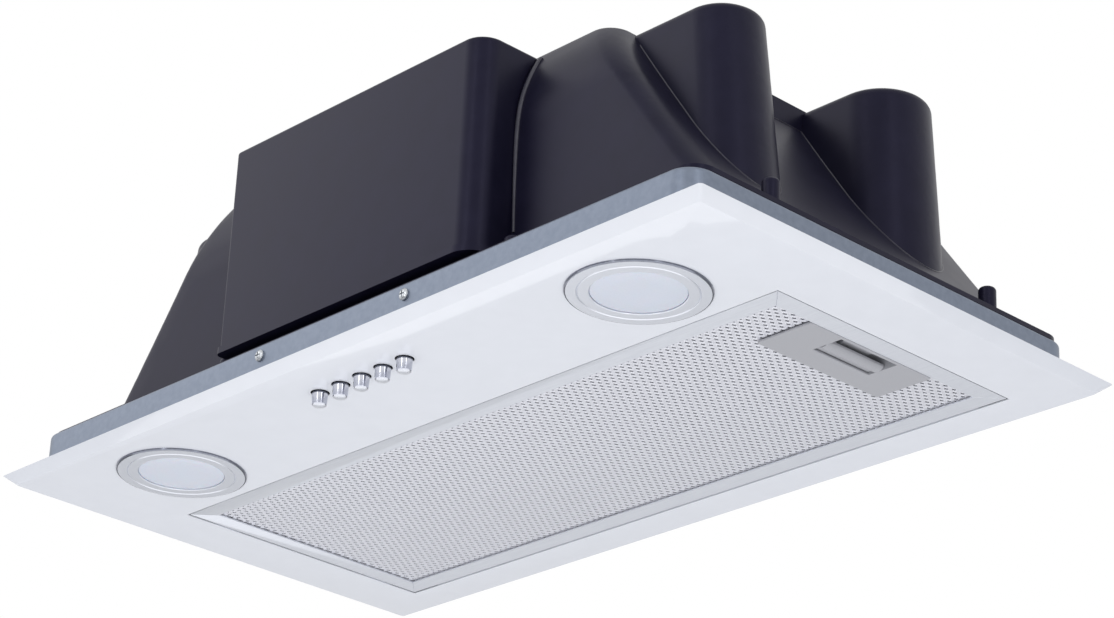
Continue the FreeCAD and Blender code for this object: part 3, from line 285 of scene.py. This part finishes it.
# Push buttons: tapered chrome caps with a thin collar and a domed end
button = {"end": 3.75, "domeFlat": 1.6, "domeRise": 0.04, "dome": 0.25, "round": 0.45, "roundMiddle": 0.2,
          "base": 4.05, "filletLow": 0.4, "filletHigh": 0.15, "collar": 4.2, "collarLow": -5.9,
          "collarHigh": -5.2, "edge": 0.1, "skirtTop": -4.4, "stem": 2.2, "shade": 0.2, "steps": 64}
for number in range(1, 6):
    node = "button_%d" % number
    low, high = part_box(node)
    centre = Vector(((low.x + high.x) / 2, (low.y + high.y) / 2, 0))
    foot, top = low.z / mm, high.z / mm
    end, base, collar, edge, stem = (button[k] for k in ("end", "base", "collar", "edge", "stem"))
    domeTop, skirtTop = foot + button["dome"], button["skirtTop"]
    collarLow, collarHigh = button["collarLow"], button["collarHigh"]
    bm = bmesh.new()
    turned(bm, [
        (0, foot), (button["domeFlat"], foot + button["domeRise"]), (end - button["round"], domeTop),
        (end - button["roundMiddle"], domeTop + button["roundMiddle"]), (end, domeTop + button["round"]),
        (base - edge / 2, collarLow - button["filletLow"]),
        (base + edge / 2, collarLow - button["filletHigh"]),
        (collar - edge, collarLow), (collar, collarLow + edge), (collar, collarHigh - edge),
        (collar - edge, collarHigh), (base, collarHigh), (base, skirtTop), (stem, skirtTop),
        (stem, top), (0, top)], centre, button["steps"])
    for face in bm.faces:
        height = face.calc_center_median().z / mm
        shaded, onEnd = height > collarLow - button["shade"], height < domeTop + edge / 2
        face.material_index = 1 if shaded else 2 if onEnd else 0
    addPiece("buttonCap%d" % number, bm, (chromePlate, shadedChrome, satinChrome), bodyOf(node),
             [node])
print("buttons turned")

# Lamps: turned bezel with a groove ring, opal lens behind it
lamp = {"inner": 22.9, "groove": 28.6, "grooveWidth": 0.55, "outer": 34.75, "face": -6.2, "panel": -5.0,
        "sleeveInner": 28.1, "sleeveOuter": 30.5, "sleeveTop": 4.0, "plated": 0.8, "lens": 22.75,
        "flange": 26.2, "flangeThick": 1.0, "steps": 128,
        "innerEdge": ((0, 0.35), (0.12, 0.1), (0.4, 0)),
        "grooveCut": ((-1, 0), (-0.6, 0.12), (0, 0.5), (0.6, 0.12), (1, 0)),
        "outerEdge": ((-0.9, 0), (-0.35, 0.12), (-0.05, 0.45), (0, 0.8)),
        "lensMiddle": ((0, 0.35), (12, 0.37)),
        "lensEdge": ((-0.5, 0.55), (-0.1, 0.7), (0, 0.95))}
for side in sides:
    bezel, lens = "lamp_bezel_" + side, "lamp_lens_" + side
    low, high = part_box(bezel)
    centre = Vector(((low.x + high.x) / 2, (low.y + high.y) / 2, 0))
    face, back, inner, outer = (lamp[k] for k in ("face", "panel", "inner", "outer"))
    sleeveInner, sleeveOuter, sleeveTop = (lamp[k] for k in ("sleeveInner", "sleeveOuter", "sleeveTop"))
    bm = bmesh.new()
    turned(bm, [
        (inner, back), *((inner + r, face + z) for r, z in lamp["innerEdge"]),
        *((lamp["groove"] + r * lamp["grooveWidth"], face + z) for r, z in lamp["grooveCut"]),
        *((outer + r, face + z) for r, z in lamp["outerEdge"]), (outer, back), (sleeveOuter, back),
        (sleeveOuter, sleeveTop), (sleeveInner, sleeveTop), (sleeveInner, back), (inner, back)],
        centre, lamp["steps"])
    for turnedFace in bm.faces:  # the outer edge takes the darker nickel, a painted shade of the panel
        middle = turnedFace.calc_center_median()
        turnedFace.material_index = (middle.xy - centre.xy).length > (outer - lamp["plated"]) * mm
    addPiece("lampBezel" + side.title(), bm, (turnedNickel(side), polishedNickel), "hood",
             [bezel], sharpAngle=10)
    bm = bmesh.new()
    turned(bm, [
        *((r, face + z) for r, z in lamp["lensMiddle"]),
        *((lamp["lens"] + r, face + z) for r, z in lamp["lensEdge"]), (lamp["lens"], back),
        (lamp["flange"], back), (lamp["flange"], back + lamp["flangeThick"]),
        (0, back + lamp["flangeThick"])], centre, lamp["steps"])
    addPiece("lampLens" + side.title(), bm, opalDiffuser, "hood", [lens])
print("lamps turned")

# Expanded sheets, front and back: one six-sided cell is copied along the row, then the row along the sheet
sheet = {"pitch": 4.39, "rowPitch": 3.23, "bond": 0.75, "slitWidth": 1.6, "slitLength": 3.0, "thick": 0.5,
         "strand": 0.5, "lift": 0.3, "slitLift": 0.55, "halfWidth": 212.0, "halfDepth": 74.5,
         "underHandle": 5.0}
low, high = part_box("filter_frame")
filterY = (low.y + high.y) / 2
half, bond, tip = sheet["pitch"] / 2, sheet["bond"], sheet["rowPitch"] - sheet["bond"]
bm = bmesh.new()
cell = bm.faces.new([bm.verts.new((x * mm, y * mm, 0)) for x, y in (
    (-half, -bond), (-half, bond), (0, tip), (half, bond), (half, -bond), (0, -tip))])
cell.normal_update()  # the inset measures along it
bmesh.ops.inset_individual(bm, faces=[cell], thickness=sheet["strand"] * mm, use_even_offset=True)
wide, long = max(v.co.x for v in cell.verts), max(v.co.y for v in cell.verts)
bmesh.ops.scale(bm, verts=cell.verts,
                vec=(sheet["slitWidth"] / 2 * mm / wide, sheet["slitLength"] / 2 * mm / long, 1))
bmesh.ops.delete(bm, geom=[cell], context="FACES_ONLY")
columns = int(2 * sheet["halfWidth"] / sheet["pitch"])
rows = int(2 * sheet["halfDepth"] / sheet["rowPitch"])
firstX = -(columns - 1) / 2 * sheet["pitch"] - half / 2
firstY = -(rows - 1) / 2 * sheet["rowPitch"]
for vert in bm.verts:  # bond ends lie high and low in turn, as on a sheet that was slit and drawn
    outer = abs(abs(vert.co.x) - half * mm) < near or abs(abs(vert.co.y) - tip * mm) < near
    raised = (vert.co.y > 0) == (abs(vert.co.x) > half / 3 * mm)
    vert.co.z = (sheet["lift"] if raised else -sheet["lift"]) * mm * (1.0 if outer else sheet["slitLift"])
bmesh.ops.translate(bm, verts=bm.verts, vec=(firstX * mm, firstY * mm + filterY, 0))
oneCell = bm.verts[:] + bm.edges[:] + bm.faces[:]
for column in range(1, columns):
    made = bmesh.ops.duplicate(bm, geom=oneCell)["geom"]
    bmesh.ops.translate(bm, verts=[v for v in made if isinstance(v, bmesh.types.BMVert)],
                        vec=(column * sheet["pitch"] * mm, 0, 0))
bmesh.ops.remove_doubles(bm, verts=bm.verts, dist=near)
oneRow = bm.verts[:] + bm.edges[:] + bm.faces[:]
for row in range(1, rows):
    made = bmesh.ops.duplicate(bm, geom=oneRow)["geom"]
    bmesh.ops.translate(bm, verts=[v for v in made if isinstance(v, bmesh.types.BMVert)],
                        vec=((row % 2) * half * mm, row * sheet["rowPitch"] * mm, 0))
bmesh.ops.remove_doubles(bm, verts=bm.verts, dist=near)
backSheet = bm.copy()  # the same sheet closes the filter's back, without the handle's gap
plateLow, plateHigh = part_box("filter_handle")
overlap = sheet["underHandle"] * mm
hidden = [f for f in bm.faces if f.calc_center_median().x > plateLow.x + overlap
          and plateLow.y + overlap < f.calc_center_median().y < plateHigh.y - overlap]
bmesh.ops.delete(bm, geom=hidden, context="FACES")
for layer, layerMesh in (("front", bm), ("back", backSheet)):
    node = "filter_mesh_" + layer
    low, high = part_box(node)
    bmesh.ops.translate(layerMesh, verts=layerMesh.verts, vec=(0, 0, (low.z + high.z) / 2))
    bmesh.ops.recalc_face_normals(layerMesh, faces=layerMesh.faces)
    bmesh.ops.solidify(layerMesh, geom=layerMesh.faces[:], thickness=sheet["thick"] * mm)
    bmesh.ops.recalc_face_normals(layerMesh, faces=layerMesh.faces)
    made = addPiece("expandedSheet" + layer.title(), layerMesh, expandedAluminium, "filter",
                    [node])
    print("expanded sheet,", layer, columns, "by", rows, "cells", len(made.data.polygons), "faces")

# Filter frame: four bars whose ends meet in mitres, shown as fine grooves across the face
frameBars = {"cornerReach": 20.0, "groove": 0.16, "grooveDepth": 0.25}
low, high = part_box("filter_frame")
barRight = high.x
barLeft = -barRight  # the hook tabs reach further on the left
bm = bmesh.new()
bm.from_mesh(nodes["filter_frame"].data)
bmesh.ops.remove_doubles(bm, verts=bm.verts, dist=weld)
bm.normal_update()
corners = ((barRight, high.y, 1), (barRight, low.y, -1), (barLeft, high.y, -1), (barLeft, low.y, 1))
reach = frameBars["cornerReach"] * mm
for cornerX, cornerY, slope in corners:
    corner = Vector((cornerX, cornerY, low.z))
    overMitre = Vector((-slope, 1, 0)).normalized()
    faces = [f for f in bm.faces if f.normal.z < -0.99 and f.calc_center_median().z < low.z + 0.1 * mm
             and min((v.co - corner).length for v in f.verts) < reach]
    edges = list(dict.fromkeys(e for f in faces for e in f.edges))
    verts = list(dict.fromkeys(v for f in faces for v in f.verts))
    cut = bmesh.ops.bisect_plane(bm, geom=faces + edges + verts, dist=0.001 * mm, plane_co=corner,
                                 plane_no=overMitre)["geom_cut"]
    line = [e for e in cut if isinstance(e, bmesh.types.BMEdge)]
    bmesh.ops.bevel(bm, geom=line, offset=frameBars["groove"] * mm, affect="EDGES", segments=2,
                    profile=0.5, material=-1)
    for vert in bm.verts:  # the line along the middle of each groove goes in
        fromCorner = vert.co - corner
        if fromCorner.length < reach and abs(fromCorner.dot(overMitre)) < near and abs(fromCorner.z) < near:
            vert.co.z += frameBars["grooveDepth"] * mm
addPiece("filterFrame", bm, rolledAluminium, "filter", ["filter_frame"],
         sharpAngle=28)
print("filter frame mitred")

# CAD nodes that show keep their shape, merged and smoothed, with a small broken edge where it is simple
dressedCopy("front_panel", bakedEnamel, 0.25)
dressedCopy("steel_tray", galvanisedSteel)
dressedCopy("fan_housing", blackAbs)
for side in ("left", "right", "front", "rear"):
    dressedCopy("lid_" + side, blackAbs)
dressedCopy("control_box", blackAbs)
dressedCopy("filter_handle", greyAbs, 0.3)
dressedCopy("latch_slide", greyAbs, 0.2)
plain = {
    "housing_screws": zincPlate, "capacitor": paleNylon, "terminal_block": paleNylon,
    "led_driver": darkNylon, "switch_bracket": galvanisedSteel, "switch_block": darkNylon,
    # the filter core's finish is painted dark for the shade inside the filter
    "filter_core": knittedAluminium, "scroll_wrap": galvanisedSteel,
    "scroll_side_left": galvanisedSteel, "scroll_side_right": galvanisedSteel, "impeller": filledNylon,
    "motor_shaft": groundSteel, "motor_body": motorPaint, "motor_bracket": galvanisedSteel,
    "outlet_collar": blackPolypropylene, "flap_pin": groundSteel, "flap_rear": blackPolypropylene,
    "flap_front": blackPolypropylene, "cable_gland": softRubber,
}
for side in sides:
    plain["lamp_body_" + side] = castAlloy
    plain["lamp_clips_" + side] = groundSteel
for node, finish in plain.items():
    dressedCopy(node, finish)
for node, part in nodes.items():  # the hidden CAD nodes take a plain finish too
    part.data.materials.clear()
    part.data.materials.append(plain.get(node, blackAbs))
print("CAD nodes dressed")


# the mesh that an object has once its modifiers or its curve's bevel are worked out
def plainMesh(source):
    bpy.context.view_layer.update()
    return bpy.data.meshes.new_from_object(source.evaluated_get(bpy.context.evaluated_depsgraph_get()))


# takes a cutter's shape out of a piece, and leaves a plain mesh
def carve(piece, cutterShape):
    cutterMesh = bpy.data.meshes.new("cutter")
    cutterShape.to_mesh(cutterMesh)
    cutterShape.free()
    cutter = bpy.data.objects.new("cutter", cutterMesh)
    bpy.context.scene.collection.objects.link(cutter)
    taken = piece.modifiers.new("taken", "BOOLEAN")
    taken.object = cutter
    taken.use_self = True  # the cutter's arms cross each other
    piece.data = plainMesh(piece)
    piece.modifiers.clear()
    bpy.data.objects.remove(cutter)


# Tray screws: pan heads with a cross recess
crossRecess = {"span": 3.4, "width": 0.75, "depth": 1.0}
screws = dressedCopy("tray_screws", zincPlate)
low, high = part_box("tray_screws")
middleZ = (low.z + high.z) / 2
headX = high.x - (high.z - low.z) / 2
bm = bmesh.new()
for centreX in (-headX, headX):
    for size in ((crossRecess["span"], crossRecess["width"]), (crossRecess["width"], crossRecess["span"])):
        made = bmesh.ops.create_cube(bm, size=mm)["verts"]
        bmesh.ops.scale(bm, verts=made, vec=(size[0], 2 * crossRecess["depth"], size[1]))
        bmesh.ops.translate(bm, verts=made, vec=(centreX, low.y, middleZ))
carve(screws, bm)
print("screw heads recessed")

# Raised bead where the control box's flange meets the housing's wall, on both sides of the box, in paler
# plastic for a painted highlight
bead = {"thin": 0.7, "thick": 1.4, "taper": 1.6, "line": (
    (98.9, -105.2, 44.0), (98.3, -105.2, 56.0), (97.9, -105.2, 72.0), (97.6, -105.2, 88.0),
    (97.9, -105.2, 102.0), (98.8, -104.8, 113.0), (99.8, -103.0, 123.0), (100.8, -99.5, 133.0),
    (101.0, -96.9, 138.7), (101.2, -94.9, 142.2))}
for side, sign in sides.items():
    path = bpy.data.curves.new("flangeBead" + side.title(), "CURVE")
    path.dimensions = "3D"
    path.bevel_depth = mm
    path.bevel_resolution = 3
    path.use_fill_caps = True
    spline = path.splines.new("NURBS")
    spline.points.add(len(bead["line"]) - 1)
    footZ, topZ = bead["line"][0][2], bead["line"][-1][2]
    for point, (x, y, z) in zip(spline.points, bead["line"]):
        point.co = (sign * x * mm, y * mm, z * mm, 1)
        full = min(1.0, bead["taper"] * (z - footZ) / (topZ - footZ))
        point.radius = bead["thin"] + (bead["thick"] - bead["thin"]) * full
    spline.order_u = 4
    spline.use_endpoint_u = True
    drawn = bpy.data.objects.new("beadPath", path)
    bpy.context.scene.collection.objects.link(drawn)
    bm = bmesh.new()
    bm.from_mesh(plainMesh(drawn))
    bpy.data.objects.remove(drawn)
    bmesh.ops.remove_doubles(bm, verts=bm.verts, dist=weld)
    bmesh.ops.recalc_face_normals(bm, faces=bm.faces)
    addPiece("flangeBead" + side.title(), bm, rubbedAbs, "hood")
print("flange beads laid")

# Fine painted highlight lines where the lobes run into the end slopes, laid along the housing's own hollow
# edges
seam = {"radius": 0.4, "fromX": 150.0, "fromZ": 27.0, "toZ": 138.0, "angle": 22}
bm = bmesh.new()
bm.from_mesh(nodes["fan_housing"].data)
bmesh.ops.remove_doubles(bm, verts=bm.verts, dist=weld)
bm.normal_update()
onSlope = {v for v in bm.verts
           if abs(v.co.x) > seam["fromX"] * mm and seam["fromZ"] < v.co.z / mm < seam["toZ"]}
hollow = {e for e in bm.edges if len(e.link_faces) == 2 and not e.is_convex and onSlope.issuperset(e.verts)
          and e.calc_face_angle() > math.radians(seam["angle"])}
bmesh.ops.delete(bm, geom=[e for e in bm.edges if e not in hollow], context="EDGES_FACES")
bmesh.ops.delete(bm, geom=[v for v in bm.verts if not v.link_edges], context="VERTS")
seamMesh = bpy.data.meshes.new("seamLines")
bm.to_mesh(seamMesh)
bm.free()
seamLines = bpy.data.objects.new("seamLines", seamMesh)
bpy.context.scene.collection.objects.link(seamLines)
bpy.context.view_layer.objects.active = seamLines
seamLines.select_set(True)
bpy.ops.object.convert(target="CURVE")
seamLines.data.bevel_depth = seam["radius"] * mm
seamLines.data.bevel_resolution = 1
seamLines.data.use_fill_caps = True
bm = bmesh.new()
bm.from_mesh(plainMesh(seamLines))
bpy.data.objects.remove(seamLines)
bmesh.ops.remove_doubles(bm, verts=bm.verts, dist=weld)
bmesh.ops.recalc_face_normals(bm, faces=bm.faces)
addPiece("lobeSeams", bm, rubbedAbs, "hood")
print("lobe seams laid")

# Stage: a pale floor far below the hood, so that views from below still clear it, and a white surround
stage = {"floorZ": -6.0, "floorSize": 60.0, "floorPale": 0.75, "worldLight": 0.48}
bm = bmesh.new()
bmesh.ops.create_grid(bm, x_segments=1, y_segments=1, size=stage["floorSize"] / 2)
bmesh.ops.translate(bm, verts=bm.verts, vec=(0, 0, stage["floorZ"]))
floorMesh = bpy.data.meshes.new("floor")
bm.to_mesh(floorMesh)
bm.free()
floor = bpy.data.objects.new("floor", floorMesh)
bpy.context.scene.collection.objects.link(floor)
paleFloor = grainFinish("paleFloor", {
    "size": 40.0, "dark": "#F2F3F5", "light": "#F5F6F8", "smooth": 0.75, "rough": 0.85,
    "bump": 0.02, "depth": 0.1}, {"Specular IOR Level": 0.2})
tree = paleFloor.node_tree  # the camera sees the floor pale, with part of its own shading left
matte = next(n for n in tree.nodes if n.type == "BSDF_PRINCIPLED")
ending = next(n for n in tree.nodes if n.type == "OUTPUT_MATERIAL")
rays = addNode(tree, "ShaderNodeLightPath")
share = addNode(tree, "ShaderNodeMath", {"operation": "MULTIPLY"}, {1: stage["floorPale"]},
                {0: rays.outputs["Is Camera Ray"]})
pale = addNode(tree, "ShaderNodeEmission", None, {"Color": hexColour("#F6F7F9"), "Strength": 1.0})
mixed = addNode(tree, "ShaderNodeMixShader", None, None,
                {0: share.outputs[0], 1: matte.outputs[0], 2: pale.outputs[0]})
tree.links.new(mixed.outputs[0], ending.inputs["Surface"])
floorMesh.materials.append(paleFloor)

world = bpy.data.worlds.new("studio")
bpy.context.scene.world = world
world.use_nodes = True
tree = world.node_tree
tree.nodes.clear()
rays = addNode(tree, "ShaderNodeLightPath")
seen = addNode(tree, "ShaderNodeMath", {"operation": "MAXIMUM"}, None,
               {0: rays.outputs["Is Camera Ray"], 1: rays.outputs["Is Glossy Ray"]})
seen = addNode(tree, "ShaderNodeMath", {"operation": "MAXIMUM"}, None,
               {0: seen.outputs[0], 1: rays.outputs["Is Transmission Ray"]})
level = addNode(tree, "ShaderNodeMapRange", None, {"To Min": stage["worldLight"], "To Max": 1.0},
                {"Value": seen.outputs[0]})
surround = addNode(tree, "ShaderNodeBackground", None, {"Color": (1, 1, 1, 1)},
                   {"Strength": level.outputs[0]})
addNode(tree, "ShaderNodeOutputWorld", None, None, {"Surface": surround.outputs[0]})

# Softboxes: a broad one in front, one below, and two strips that draw the streaks on buttons and lobes
softboxes = {  # place, the point it faces, width and height in metres, power in watts
    "keySoftbox": ((-1.45, -1.36, 0.95), (0, 0, 0.08), (1.6, 1.6), 6.5),
    "frontStrip": ((0.32, -1.46, 0.15), (0, 0, 0.15), (0.14, 1.88), 3.6),
    "rightStrip": ((1.41, -0.51, 0.15), (0, 0, 0.15), (0.14, 1.88), 3.0),
    "underSoftbox": ((0.05, -0.1, -0.78), (0.05, -0.1, 0), (2.4, 1.8), 12.3)}
for name, (place, target, size, power) in softboxes.items():
    data = bpy.data.lights.new(name, "AREA")
    data.shape = "RECTANGLE"
    data.size, data.size_y = size
    data.energy = power
    softbox = bpy.data.objects.new(name, data)
    softbox.location = place
    softbox.rotation_euler = (Vector(target) - Vector(place)).to_track_quat("-Z", "Y").to_euler()
    bpy.context.scene.collection.objects.link(softbox)

# Camera at the photograph's place: below the hood, in front and to the right
view = {"place": (1.0993, -0.9959, -0.6113), "azimuth": 47.36, "elevation": -24.70, "roll": 2.57,
        "lens": 100.72, "sensor": 36.0}
turn, rise, roll = (math.radians(view[k]) for k in ("azimuth", "elevation", "roll"))
back = Vector((math.sin(turn) * math.cos(rise), -math.cos(turn) * math.cos(rise), math.sin(rise)))
right = (-back).cross(Vector((0, 0, 1))).normalized()
up = right.cross(-back)
across = right * math.cos(roll) + up * math.sin(roll)
upward = up * math.cos(roll) - right * math.sin(roll)
lensData = bpy.data.cameras.new("camera")
lensData.sensor_fit = "HORIZONTAL"
lensData.sensor_width = view["sensor"]
lensData.lens = view["lens"]
camera = bpy.data.objects.new("camera", lensData)
camera.matrix_world = Matrix.Translation(view["place"]) @ Matrix((across, upward, back)).transposed().to_4x4()
bpy.context.scene.collection.objects.link(camera)
bpy.context.scene.camera = camera
bpy.context.scene.view_settings.view_transform = "Standard"
print("stage and camera set")

bpy.context.view_layer.update()
